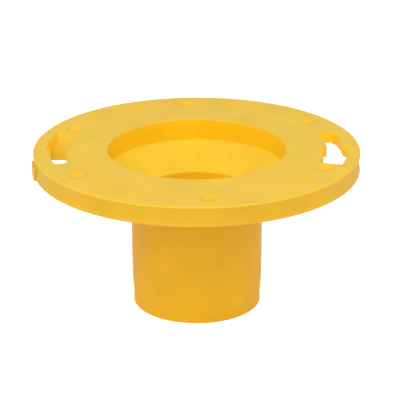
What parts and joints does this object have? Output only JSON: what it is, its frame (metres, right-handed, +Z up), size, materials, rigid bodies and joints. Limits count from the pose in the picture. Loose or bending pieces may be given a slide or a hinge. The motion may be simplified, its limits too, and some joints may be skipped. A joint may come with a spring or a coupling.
{
  "type": "toilet flange",
  "caption": "Round plastic closet flange with a wide throat, a reducing cone and a long push-in pipe spigot; keyhole bolt slots and countersunk screw holes in the deck.",
  "frame": {"origin": "centre of the throat on the top (sealing) face", "axes": "+Z up along the throat, away from the drain; +X towards the middle of the right bolt slot's mouth and channel"},
  "size_m": [0.1808, 0.18, 0.09],
  "materials": {
    "yellow_plastic": "satin moulded yellow plastic"
  },
  "bodies": {
    "root": {"flange_deck": "yellow_plastic", "rim_skirt": "yellow_plastic", "throat_collar": "yellow_plastic", "reducer_cone": "yellow_plastic", "spigot_tube": "yellow_plastic", "spigot_lead_in": "yellow_plastic", "ring_rib": "yellow_plastic", "inner_ribs": "yellow_plastic", "outer_ribs": "yellow_plastic", "screw_bosses": "yellow_plastic", "bolt_ramp_right": "yellow_plastic", "bolt_ramp_left": "yellow_plastic", "gate_tab": "yellow_plastic"}
  },
  "joints": []
}
